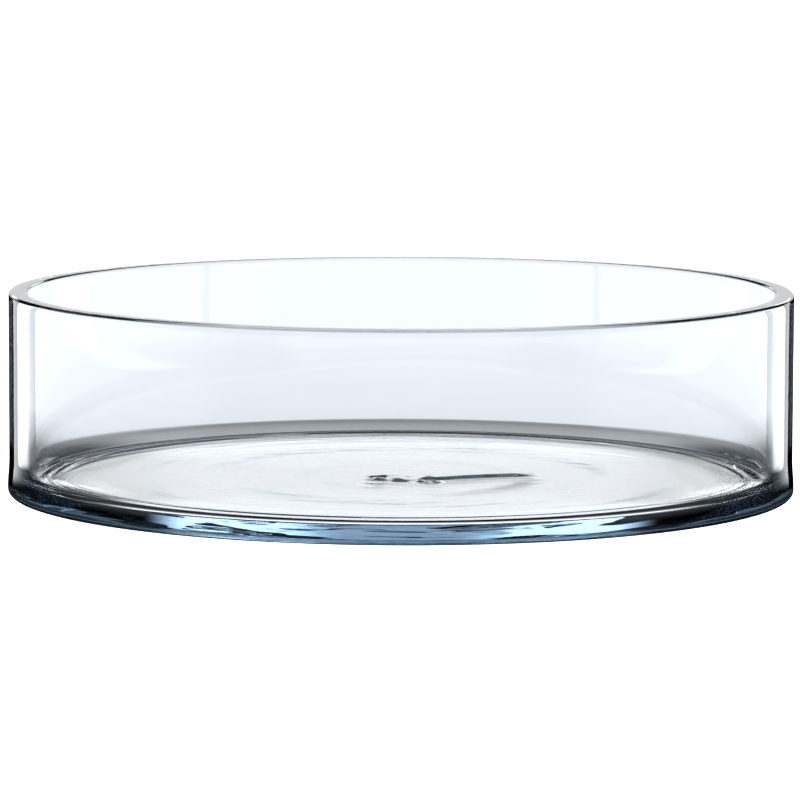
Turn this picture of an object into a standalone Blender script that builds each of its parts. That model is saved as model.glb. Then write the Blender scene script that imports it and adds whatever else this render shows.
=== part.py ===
"""Crystallizing dish: a shallow, straight-sided cylindrical dish blown in one piece of clear glass.

Run it with blender --background --python part.py, or from Blender's text editor.
Units are metres, +Z is up, and the origin is the centre of the flat base.
"""
import math

import bpy

# Driving dimensions.
OUTER_RADIUS = 0.150
HEIGHT = 0.0774
WALL = 0.0070
FLOOR = 0.0060

# Roundings of the section.
RIM_LAND = 0.0046
FLOOR_FILLET = 0.0050
HEEL_RADIUS = 0.0022

# The straight wall stands out slightly towards the heel, where the hot glass sagged into the mould's foot.
FOOT_SWELL = 0.0006
FOOT_REACH = 0.0120

# Facets round the axis, along each quarter-round of the section and down the foot's swelling.
TURN_STEPS = 96
FILLET_FACETS = 6
FOOT_FACETS = 5
MERGE_DISTANCE = 0.00005


def clear_objects():
    """Start from an empty file."""
    for old in list(bpy.data.objects):
        bpy.data.objects.remove(old, do_unlink=True)


def arc(centre, radius, start_deg, end_deg):
    """Points along an arc in the section plane, both ends included."""
    points = []
    for i in range(FILLET_FACETS + 1):
        angle = math.radians(start_deg + (end_deg - start_deg) * i / FILLET_FACETS)
        points.append((centre[0] + radius * math.cos(angle), centre[1] + radius * math.sin(angle)))
    return points


def foot_swell():
    """The outer wall's swelling above the heel, from its straight side down."""
    points = []
    for i in range(FOOT_FACETS + 1):
        share = i / FOOT_FACETS
        swell = FOOT_SWELL * 0.5 * (1 - math.cos(math.pi * share))
        points.append((OUTER_RADIUS + swell, HEEL_RADIUS + FOOT_REACH * (1 - share)))
    return points


def section():
    """The dish's half section, from the middle of its floor, over the rim, to the middle of its base."""
    inner = OUTER_RADIUS - WALL
    rim_round = (WALL - RIM_LAND) / 2
    rim_centre = HEIGHT - rim_round
    heel_centre = OUTER_RADIUS + FOOT_SWELL - HEEL_RADIUS
    points = [(0.0, FLOOR)]
    points += arc((inner - FLOOR_FILLET, FLOOR + FLOOR_FILLET), FLOOR_FILLET, -90, 0)
    points += arc((inner + rim_round, rim_centre), rim_round, 180, 90)
    points += arc((OUTER_RADIUS - rim_round, rim_centre), rim_round, 90, 0)
    points += foot_swell()
    points += arc((heel_centre, HEEL_RADIUS), HEEL_RADIUS, 0, -90)[1:]
    points.append((0.0, 0.0))
    return points


def clear_glass():
    """Colourless glass with a faint blue cast."""
    material = bpy.data.materials.new("clear_glass")
    material.use_nodes = True
    shader = material.node_tree.nodes["Principled BSDF"]
    shader.inputs["Base Color"].default_value = (0.90, 0.94, 0.98, 1.0)
    shader.inputs["Metallic"].default_value = 0.0
    shader.inputs["Roughness"].default_value = 0.02
    shader.inputs["IOR"].default_value = 1.5
    shader.inputs["Transmission Weight"].default_value = 1.0
    return material


def turned(name, outline, material, collection):
    """An object turned about Z from an outline in the XZ plane."""
    mesh = bpy.data.meshes.new(name)
    edges = [(i, i + 1) for i in range(len(outline) - 1)]
    mesh.from_pydata([(x, 0.0, z) for x, z in outline], edges, [])
    mesh.materials.append(material)
    item = bpy.data.objects.new(name, mesh)
    collection.objects.link(item)
    screw = item.modifiers.new("turn", "SCREW")
    screw.axis = "Z"
    screw.angle = 2 * math.pi
    screw.steps = TURN_STEPS
    screw.render_steps = TURN_STEPS
    screw.use_merge_vertices = True
    screw.merge_threshold = MERGE_DISTANCE
    screw.use_smooth_shade = True
    return item


def main():
    clear_objects()
    parts = bpy.data.collections.new("crystallizing_dish")
    bpy.context.scene.collection.children.link(parts)
    turned("dish", section(), clear_glass(), parts)


main()
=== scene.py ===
"""Crystallizing dish in clear blown glass, on a white studio floor."""
import math

import bpy
import numpy as np
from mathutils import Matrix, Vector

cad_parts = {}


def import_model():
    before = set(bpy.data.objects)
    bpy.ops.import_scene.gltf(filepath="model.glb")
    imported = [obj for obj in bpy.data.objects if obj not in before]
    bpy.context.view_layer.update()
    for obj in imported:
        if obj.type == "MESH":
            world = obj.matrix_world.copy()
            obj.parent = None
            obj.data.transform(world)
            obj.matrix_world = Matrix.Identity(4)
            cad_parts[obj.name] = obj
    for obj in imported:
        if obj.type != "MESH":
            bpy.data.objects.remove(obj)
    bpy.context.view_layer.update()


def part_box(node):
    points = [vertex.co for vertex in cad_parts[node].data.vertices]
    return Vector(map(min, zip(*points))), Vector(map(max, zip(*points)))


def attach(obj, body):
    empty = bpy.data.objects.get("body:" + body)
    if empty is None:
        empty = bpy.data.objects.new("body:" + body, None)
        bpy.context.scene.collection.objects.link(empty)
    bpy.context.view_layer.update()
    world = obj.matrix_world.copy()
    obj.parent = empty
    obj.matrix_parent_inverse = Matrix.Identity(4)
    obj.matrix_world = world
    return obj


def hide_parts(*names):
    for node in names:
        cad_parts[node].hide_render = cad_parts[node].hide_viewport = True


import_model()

# The dish's outer size comes from the frame, and its section is the CAD's.
TOP_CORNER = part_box("dish")[1]
HEIGHT = TOP_CORNER[2]
FOOT_SWELL = 0.0006
OUTER_RADIUS = TOP_CORNER[0] - FOOT_SWELL
WALL = 0.0070
FLOOR = 0.0060
RIM_LAND = 0.0046
FLOOR_FILLET = 0.0050
HEEL_RADIUS = 0.0022
FOOT_REACH = 0.0120

# The mesh's steps round the axis.
TURNS = 720

# Hand-blown unevenness, as heights in metres: the floor's swirl, the ridges round its edge, the streaks under the
# base, the waves of the inner wall, the rim's slant, and the scar's bumps and ridge.
SWIRL = 0.00005
EDGE_RIDGES = 0.00055
BASE_STREAKS = 0.000022
WALL_WAVES = 0.00002
RIM_WARP = 0.0003
SCAR_BUMPS = 0.0009
SCAR_RIDGE = 0.0010

# Where the edge ridges lie, in outer radii, how wide they spread, and the bearing in degrees of the rim's high side.
EDGE_RIDGES_AT = 0.915
EDGE_RIDGES_SPREAD = 0.006
RIM_WARP_BEARING = 200

# The scar: the middle of its patch of bumps, the patch's half widths and the bumps' count; then where its ridge
# starts, how far it runs along x, and how far it curls along y. Lengths are in metres.
SCAR_AT = (0.003, -0.012)
SCAR_SPREAD = (0.014, 0.011)
SCAR_COUNT = 34
SCAR_RIDGE_START = 0.010
SCAR_RIDGE_RUN = 0.042
SCAR_RIDGE_CURL = 0.013

# Rings within this distance of a surface's level or radius belong to it.
NEAR = 0.0001


def arc(centre, radius, start_deg, end_deg, count):
    """Points along an arc in the section plane, both ends included."""
    angles = np.radians(np.linspace(start_deg, end_deg, count))
    return [(centre[0] + radius * math.cos(a), centre[1] + radius * math.sin(a)) for a in angles]


def line(start, end, count):
    """Points from start to end, both left out."""
    return [
        (start[0] + (end[0] - start[0]) * t, start[1] + (end[1] - start[1]) * t)
        for t in np.linspace(0, 1, count + 2)[1:-1]
    ]


def section():
    """The CAD's half section in finer steps, from the middle of the floor over the rim to the middle of the base."""
    inner = OUTER_RADIUS - WALL
    rim_round = (WALL - RIM_LAND) / 2
    rim_centre = HEIGHT - rim_round
    floor_edge = inner - FLOOR_FILLET
    pts = [(0.0, FLOOR)]
    pts += line((0, FLOOR), (floor_edge, FLOOR), 150)
    pts += arc((floor_edge, FLOOR + FLOOR_FILLET), FLOOR_FILLET, -90, 0, 16)
    pts += line((inner, FLOOR + FLOOR_FILLET), (inner, rim_centre), 24)
    pts += arc((inner + rim_round, rim_centre), rim_round, 180, 90, 12)
    pts += line((inner + rim_round, HEIGHT), (OUTER_RADIUS - rim_round, HEIGHT), 1)
    pts += arc((OUTER_RADIUS - rim_round, rim_centre), rim_round, 90, 0, 12)
    for z in np.linspace(rim_centre, HEEL_RADIUS + FOOT_REACH, 30)[1:-1]:
        pts.append((OUTER_RADIUS, z))
    for share in np.linspace(0, 1, 14):
        swell = FOOT_SWELL * 0.5 * (1 - math.cos(math.pi * share))
        pts.append((OUTER_RADIUS + swell, HEEL_RADIUS + FOOT_REACH * (1 - share)))
    heel_centre = OUTER_RADIUS + FOOT_SWELL - HEEL_RADIUS
    pts += arc((heel_centre, HEEL_RADIUS), HEEL_RADIUS, 0, -90, 12)[1:]
    pts += line((heel_centre, 0), (0, 0), 40)
    pts.append((0.0, 0.0))
    return pts


def lathe(name, pts, turns):
    """The section turned about Z, with its relief, and closed at the axis above and below."""
    rings = np.array(pts[1:-1])
    angle = np.linspace(0, 2 * np.pi, turns, endpoint=False)
    r = rings[:, 0][:, None] * np.ones(turns)[None, :]
    z = rings[:, 1][:, None] * np.ones(turns)[None, :]
    phi = np.ones(len(rings))[:, None] * angle[None, :]
    r, z = relief(r, z, phi)
    verts = np.stack([r * np.cos(phi), r * np.sin(phi), z], axis=-1).reshape(-1, 3)
    n_rings = len(rings)
    top = len(verts)
    bottom = top + 1
    verts = np.vstack([verts, [[0, 0, pts[0][1]], [0, 0, pts[-1][1]]]])
    i = np.arange(n_rings - 1)[:, None]
    j = np.arange(turns)[None, :]
    k = (j + 1) % turns
    quads = np.stack([i * turns + j, (i + 1) * turns + j, (i + 1) * turns + k, i * turns + k], axis=-1)
    faces = quads.reshape(-1, 4).tolist()
    for a in range(turns):
        b = (a + 1) % turns
        faces.append((top, a, b))
        last = (n_rings - 1) * turns
        faces.append((bottom, last + b, last + a))
    mesh = bpy.data.meshes.new(name)
    mesh.from_pydata(verts.tolist(), [], faces)
    mesh.validate()
    mesh.shade_smooth()
    obj = bpy.data.objects.new(name, mesh)
    bpy.context.scene.collection.objects.link(obj)
    return obj


def waves(across, phi, seed, count, pitch, lobes):
    """Smooth seeded unevenness: long streaks round the axis, one pitch apart across them."""
    rng = np.random.default_rng(seed)
    total = np.zeros_like(across)
    for _ in range(count):
        length = pitch * rng.uniform(0.6, 1.9)
        turns = rng.integers(-lobes, lobes + 1)
        total += np.sin(2 * np.pi * across / length + turns * phi + rng.uniform(0, 2 * np.pi))
    return total / math.sqrt(count)


def bell(distance):
    """1 at no distance, fading smoothly to 0 past about 2."""
    return np.exp(-distance ** 2)


def scar(x, y):
    """The pontil scar by the middle of the floor: a patch of small bumps, and a ridge curling away from it."""
    rng = np.random.default_rng(11)
    height = np.zeros_like(x)
    for _ in range(SCAR_COUNT):
        at_x = SCAR_AT[0] + SCAR_SPREAD[0] * rng.uniform(-1, 1)
        at_y = SCAR_AT[1] + SCAR_SPREAD[1] * rng.uniform(-1, 1)
        size = rng.uniform(0.0012, 0.0028)
        height += SCAR_BUMPS * rng.uniform(-0.7, 1) * bell(np.hypot(x - at_x, y - at_y) / size)
    along = np.clip((x - SCAR_RIDGE_START) / SCAR_RIDGE_RUN, 0, 1)
    line_y = SCAR_AT[1] + SCAR_RIDGE_CURL * np.sin(along * math.pi / 2)
    # The ridge fades in from 6 to 12 mm along x, and out from 44 to 54 mm.
    fade = np.clip((x - 0.006) / 0.006, 0, 1) * np.clip((0.054 - x) / 0.010, 0, 1)
    height += SCAR_RIDGE * fade * bell((y - line_y) / 0.0042)
    return height


def relief(r, z, phi):
    """The section's rings, moved a little as hand-blown glass is."""
    inner = OUTER_RADIUS - WALL
    on_floor = (z > FLOOR - NEAR) & (r < inner - FLOOR_FILLET + NEAR)
    on_base = z < NEAR
    fade = np.clip(r / 0.012, 0, 1) * np.clip((inner - FLOOR_FILLET - r) / 0.004, 0, 1)
    swirl = SWIRL * waves(r, phi, 3, 16, 0.028, 3)
    edge_band = bell((r - EDGE_RIDGES_AT * OUTER_RADIUS) / EDGE_RIDGES_SPREAD)
    edge = EDGE_RIDGES * edge_band * waves(r, phi, 5, 6, 0.0065, 4)
    x, y = r * np.cos(phi), r * np.sin(phi)
    z = z + np.where(on_floor, fade * (swirl + edge) + scar(x, y), 0)
    # The streaks under the base fade in outside 0.3 of the outer radius, and out before the heel.
    base_fade = np.clip((r - 0.3 * OUTER_RADIUS) / 0.03, 0, 1) * np.clip((0.146 - r) / 0.003, 0, 1)
    streaks = BASE_STREAKS * (2.5 + waves(r, phi, 8, 12, 0.0060, 24))
    z = z + np.where(on_base, base_fade * streaks, 0)
    side = np.clip((z - 0.02) / 0.02, 0, 1)
    r = r + np.where(r > inner - NEAR, side * WALL_WAVES * waves(z, phi, 13, 8, 0.03, 7), 0)
    lift = np.clip((z - 0.5 * HEIGHT) / (0.5 * HEIGHT), 0, 1) ** 2
    z = z - lift * RIM_WARP * (1 - np.cos(2 * (phi - math.radians(RIM_WARP_BEARING)))) / 2
    return r, z


def glass_material():
    """Clear soda glass: a faint blue in thick pieces, fine handling marks and a slight surface ripple."""
    mat = bpy.data.materials.new("clear_glass")
    mat.use_nodes = True
    nodes, links = mat.node_tree.nodes, mat.node_tree.links
    shader = nodes["Principled BSDF"]
    shader.inputs["Base Color"].default_value = (1, 1, 1, 1)
    shader.inputs["IOR"].default_value = 1.5
    shader.inputs["Transmission Weight"].default_value = 1.0
    coord = nodes.new("ShaderNodeTexCoord")
    marks = nodes.new("ShaderNodeTexNoise")
    marks.inputs["Scale"].default_value = 160.0
    marks.inputs["Detail"].default_value = 6.0
    links.new(coord.outputs["Object"], marks.inputs["Vector"])
    rough = nodes.new("ShaderNodeMapRange")
    rough.inputs["From Min"].default_value = 0.55
    rough.inputs["From Max"].default_value = 0.80
    rough.inputs["To Min"].default_value = 0.0
    rough.inputs["To Max"].default_value = 0.04
    links.new(marks.outputs["Fac"], rough.inputs["Value"])
    links.new(rough.outputs["Result"], shader.inputs["Roughness"])
    ripple = nodes.new("ShaderNodeTexNoise")
    ripple.inputs["Scale"].default_value = 45.0
    ripple.inputs["Detail"].default_value = 2.0
    links.new(coord.outputs["Object"], ripple.inputs["Vector"])
    bump = nodes.new("ShaderNodeBump")
    bump.inputs["Strength"].default_value = 0.006
    bump.inputs["Distance"].default_value = 0.0004
    links.new(ripple.outputs["Fac"], bump.inputs["Height"])
    links.new(bump.outputs["Normal"], shader.inputs["Normal"])
    volume = nodes.new("ShaderNodeVolumeAbsorption")
    volume.inputs["Color"].default_value = (0.425, 0.5875, 0.7125, 1)
    volume.inputs["Density"].default_value = 8.0
    links.new(volume.outputs["Volume"], nodes["Material Output"].inputs["Volume"])
    return mat


def emission(name, color, strength):
    """A plain light-giving material."""
    mat = bpy.data.materials.new(name)
    mat.use_nodes = True
    nodes, links = mat.node_tree.nodes, mat.node_tree.links
    nodes.clear()
    out = nodes.new("ShaderNodeOutputMaterial")
    em = nodes.new("ShaderNodeEmission")
    em.inputs["Color"].default_value = (*color, 1)
    em.inputs["Strength"].default_value = strength
    links.new(em.outputs["Emission"], out.inputs["Surface"])
    return mat


def ring(name, inner, outer, z, mat, seg=128):
    """A flat staging ring, or a disc where inner is 0."""
    verts, faces = [], []
    for a in np.linspace(0, 2 * np.pi, seg, endpoint=False):
        verts.append((inner * math.cos(a), inner * math.sin(a), z))
        verts.append((outer * math.cos(a), outer * math.sin(a), z))
    for i in range(seg):
        j = (i + 1) % seg
        faces.append((2 * i, 2 * i + 1, 2 * j + 1, 2 * j))
    mesh = bpy.data.meshes.new(name)
    mesh.from_pydata(verts, [], faces)
    mesh.materials.append(mat)
    obj = bpy.data.objects.new(name, mesh)
    bpy.context.scene.collection.objects.link(obj)
    return obj


def card(name, corners, mat):
    """A flat card standing by the dish, seen in the glass and not by the camera."""
    mesh = bpy.data.meshes.new(name)
    mesh.from_pydata(corners, [], [tuple(range(len(corners)))])
    mesh.materials.append(mat)
    obj = bpy.data.objects.new(name, mesh)
    bpy.context.scene.collection.objects.link(obj)
    obj.visible_camera = False
    return obj


def math_node(tree, operation, a, b=None):
    """A Math node on sockets or numbers, and its result."""
    node = tree.nodes.new("ShaderNodeMath")
    node.operation = operation
    for socket, value in zip(node.inputs, (a, b)):
        if value is None:
            continue
        if isinstance(value, (int, float)):
            socket.default_value = value
        else:
            tree.links.new(value, socket)
    return node.outputs[0]


def smooth(tree, value, low_edge, high_edge):
    """0 at and before low_edge, 1 at and past high_edge, with a smooth step between."""
    node = tree.nodes.new("ShaderNodeMapRange")
    node.interpolation_type = "SMOOTHSTEP"
    for name, edge in (("Value", value), ("From Min", low_edge), ("From Max", high_edge)):
        if isinstance(edge, (int, float)):
            node.inputs[name].default_value = edge
        else:
            tree.links.new(edge, node.inputs[name])
    return node.outputs["Result"]


def mix(tree, factor, a, b):
    """a where factor is 0, b where it is 1."""
    gap = math_node(tree, "SUBTRACT", b, a)
    return math_node(tree, "ADD", a, math_node(tree, "MULTIPLY", gap, factor))


def profile(tree, value, reach, stops):
    """A brightness that follows stops of (distance, brightness) along value."""
    node = tree.nodes.new("ShaderNodeValToRGB")
    tree.links.new(math_node(tree, "DIVIDE", value, reach), node.inputs[0])
    elements = node.color_ramp.elements
    while len(elements) < len(stops):
        elements.new(0.5)
    for element, (at, bright) in zip(elements, stops):
        element.position = at / reach
        element.color = (bright / GLOW_TOP, bright / GLOW_TOP, bright / GLOW_TOP, 1)
    return math_node(tree, "MULTIPLY", node.outputs["Color"], GLOW_TOP)


# Brightness of the glowing ground that the glass sees, by distance from the axis in outer radii. It is dark close
# round the dish, a painted shadow reaching further out at the sides than behind and in front. GLOW_TOP is the
# brightness of a white ramp stop, and GLOW_REACH the distance of the last stop.
GLOW_TOP = 1.5
GLOW_REACH = 4.0
GLOW_ROUND = ((0, 0.45), (0.6, 0.6), (0.84, 0.85), (0.925, 0.9), (0.94, 0), (1.0, 0), (1.015, 0.36), (1.1, 0.3),
              (1.2, 0.22), (1.32, 0.26), (1.4, 0.62), (1.9, 0.66), (2.5, 0.68), (4, 0.71))
GLOW_SIDES = ((0, 0.45), (0.6, 0.5), (0.8, 0.35), (0.87, 0), (1.0, 0), (1.02, 0.04), (1.5, 0.04), (1.9, 0.4),
              (2.2, 0.66), (2.7, 0.95), (4, 0.95))

# Painted light: behind each side the ground is bright in a wedge in plan, between |x| = 1.05 + 0.28 y and
# 1.15 + 0.75 y in outer radii, with soft edges.
WEDGE_GLOW = 1.1
WEDGE_INNER = (1.05, 0.28)
WEDGE_OUTER = (1.15, 0.75)
WEDGE_EDGES = (0.05, 0.25)


def glow_material():
    """The glowing ground that only the glass sees, with a painted shadow close round the dish and painted light in
    wedges behind it.
    """
    mat = emission("floor_glow", (0.97, 1.0, 1.04), 1.0)
    tree = mat.node_tree
    shader = next(n for n in tree.nodes if n.type == "EMISSION")
    coord = tree.nodes.new("ShaderNodeTexCoord")
    split = tree.nodes.new("ShaderNodeSeparateXYZ")
    tree.links.new(coord.outputs["Object"], split.inputs[0])
    x = math_node(tree, "DIVIDE", split.outputs["X"], OUTER_RADIUS)
    y = math_node(tree, "DIVIDE", split.outputs["Y"], OUTER_RADIUS)
    x_squared, y_squared = math_node(tree, "MULTIPLY", x, x), math_node(tree, "MULTIPLY", y, y)
    radius = math_node(tree, "SQRT", math_node(tree, "ADD", x_squared, y_squared))
    radius = math_node(tree, "MAXIMUM", radius, 0.001)
    bearing = math_node(tree, "DIVIDE", y, radius)
    round_share = math_node(tree, "ADD", smooth(tree, bearing, 0.45, 0.75), smooth(tree, bearing, -0.55, -0.75))
    glow = mix(tree, round_share, profile(tree, radius, GLOW_REACH, GLOW_SIDES),
               profile(tree, radius, GLOW_REACH, GLOW_ROUND))
    aside = math_node(tree, "ABSOLUTE", x)
    past_inner = math_node(tree, "SUBTRACT", aside, math_node(tree, "MULTIPLY", y, WEDGE_INNER[1]))
    past_outer = math_node(tree, "SUBTRACT", aside, math_node(tree, "MULTIPLY", y, WEDGE_OUTER[1]))
    from_inner = smooth(tree, past_inner, WEDGE_INNER[0] - WEDGE_EDGES[0], WEDGE_INNER[0] + WEDGE_EDGES[0])
    to_outer = smooth(tree, past_outer, WEDGE_OUTER[0] + WEDGE_EDGES[1], WEDGE_OUTER[0] - WEDGE_EDGES[1])
    wedge = math_node(tree, "MULTIPLY", from_inner, to_outer)
    wedge = math_node(tree, "MULTIPLY", wedge, smooth(tree, y, 0.08, 0.4))
    glow = mix(tree, wedge, glow, WEDGE_GLOW)
    tree.links.new(glow, shader.inputs["Strength"])
    return mat


# Narrow black flags beside the dish give its sides their dark outlines: how far back they stand, and the near edge,
# far edge and top of each, in outer radii.
FLAG_Y = 0.06
FLAG_NEAR = 1.0
FLAG_FAR = 1.092
FLAG_TOP = 0.505


# The white that the camera sees as floor and background, and the floor's radius in metres.
WHITE = 1.15
FLOOR_REACH = 12.0


def floor():
    """The camera's white floor, the glass's own glowing ground with its painted shade and light just above it, and
    the flags.
    """
    ground = ring("studio_floor", 0.0, FLOOR_REACH, -0.0008, emission("floor_white", (1, 1, 1), WHITE))
    for kind in ("glossy", "transmission", "diffuse", "volume_scatter"):
        setattr(ground, "visible_" + kind, False)
    glow = ring("floor_glow", 0.0, FLOOR_REACH, -0.0004, glow_material())
    glow.visible_camera = False
    unit = OUTER_RADIUS
    black = emission("card_black", (0, 0, 0), 0)
    corners = ((FLAG_NEAR, 0), (FLAG_FAR, 0), (FLAG_FAR, FLAG_TOP), (FLAG_NEAR, FLAG_TOP))
    for side, name in ((-1, "flag_left"), (1, "flag_right")):
        card(name, [(side * u * unit, FLAG_Y * unit, v * unit) for u, v in corners], black)


# The sky the glass sees: a panel behind, brightest at its upper sides, a faint low band elsewhere, and a faint light
# from the top.
PANEL_MIDDLE = 1.0
PANEL_SIDES = 2.8
SKY_ROUND = 0.1
SKY_TOP = 0.04


def world():
    """The sky: plain white for the camera, and the panel, low band and top light for the glass."""
    w = bpy.data.worlds.new("studio")
    bpy.context.scene.world = w
    w.use_nodes = True
    tree = w.node_tree
    tree.nodes.clear()
    out = tree.nodes.new("ShaderNodeOutputWorld")
    background = tree.nodes.new("ShaderNodeBackground")
    tree.links.new(background.outputs[0], out.inputs["Surface"])
    coord = tree.nodes.new("ShaderNodeTexCoord")
    split = tree.nodes.new("ShaderNodeSeparateXYZ")
    tree.links.new(coord.outputs["Generated"], split.inputs[0])
    x, y, z = split.outputs["X"], split.outputs["Y"], split.outputs["Z"]
    behind = smooth(tree, y, -0.1, 0.2)
    aside = math_node(tree, "ABSOLUTE", x)
    # The panel: bright to between 20 and 27 degrees either side, its top edge lower on the left.
    width = math_node(tree, "MULTIPLY", behind, smooth(tree, aside, 0.46, 0.34))
    top_edge = mix(tree, smooth(tree, x, -0.20, 0.02), 0.195, 0.300)
    below = smooth(tree, math_node(tree, "SUBTRACT", z, top_edge), 0.035, -0.015)
    raised = math_node(tree, "MULTIPLY", smooth(tree, aside, 0.08, 0.2), smooth(tree, z, 0.125, 0.145))
    bright = mix(tree, raised, PANEL_MIDDLE, PANEL_SIDES)
    panel = math_node(tree, "MULTIPLY", math_node(tree, "MULTIPLY", width, below), bright)
    # Elsewhere only a low band is faintly lit, under 7 degrees.
    outside = math_node(tree, "SUBTRACT", 1.0, width)
    low_band = math_node(tree, "MULTIPLY", smooth(tree, z, 0.12, 0.09), SKY_ROUND)
    low_sky = math_node(tree, "ADD", panel, math_node(tree, "MULTIPLY", outside, low_band))
    top_sky = math_node(tree, "MULTIPLY", smooth(tree, z, 0.6, 0.85), SKY_TOP)
    seen = math_node(tree, "ADD", low_sky, top_sky)
    path = tree.nodes.new("ShaderNodeLightPath")
    tree.links.new(mix(tree, path.outputs["Is Camera Ray"], seen, WHITE), background.inputs["Strength"])


# The camera: its distance and height in outer radii, its focal length in mm, and its tilt, roll and turn in radians.
CAMERA_DISTANCE = 13.0
CAMERA_HEIGHT = 1.745
CAMERA_LENS = 230.2
CAMERA_TILT = math.pi / 2 - 0.11583
CAMERA_ROLL = -0.0034
CAMERA_TURN = 0.0006


def camera():
    """A long-lens camera in front of the dish and a little above it."""
    cam = bpy.data.cameras.new("camera")
    cam.sensor_width = 36
    cam.lens = CAMERA_LENS
    cam.clip_end = 100
    obj = bpy.data.objects.new("camera", cam)
    bpy.context.scene.collection.objects.link(obj)
    obj.location = (0, -CAMERA_DISTANCE * OUTER_RADIUS, CAMERA_HEIGHT * OUTER_RADIUS)
    obj.rotation_euler = (CAMERA_TILT, CAMERA_ROLL, CAMERA_TURN)
    bpy.context.scene.camera = obj


def main():
    scene = bpy.context.scene
    scene.view_settings.view_transform = "Standard"
    scene.view_settings.look = "High Contrast"
    scene.cycles.max_bounces = 48
    scene.cycles.glossy_bounces = 40
    scene.cycles.transmission_bounces = 40
    scene.cycles.transparent_max_bounces = 40
    dish = lathe("dish_glass", section(), TURNS)
    dish.data.materials.append(glass_material())
    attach(dish, "root")
    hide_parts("dish")
    floor()
    world()
    camera()


main()
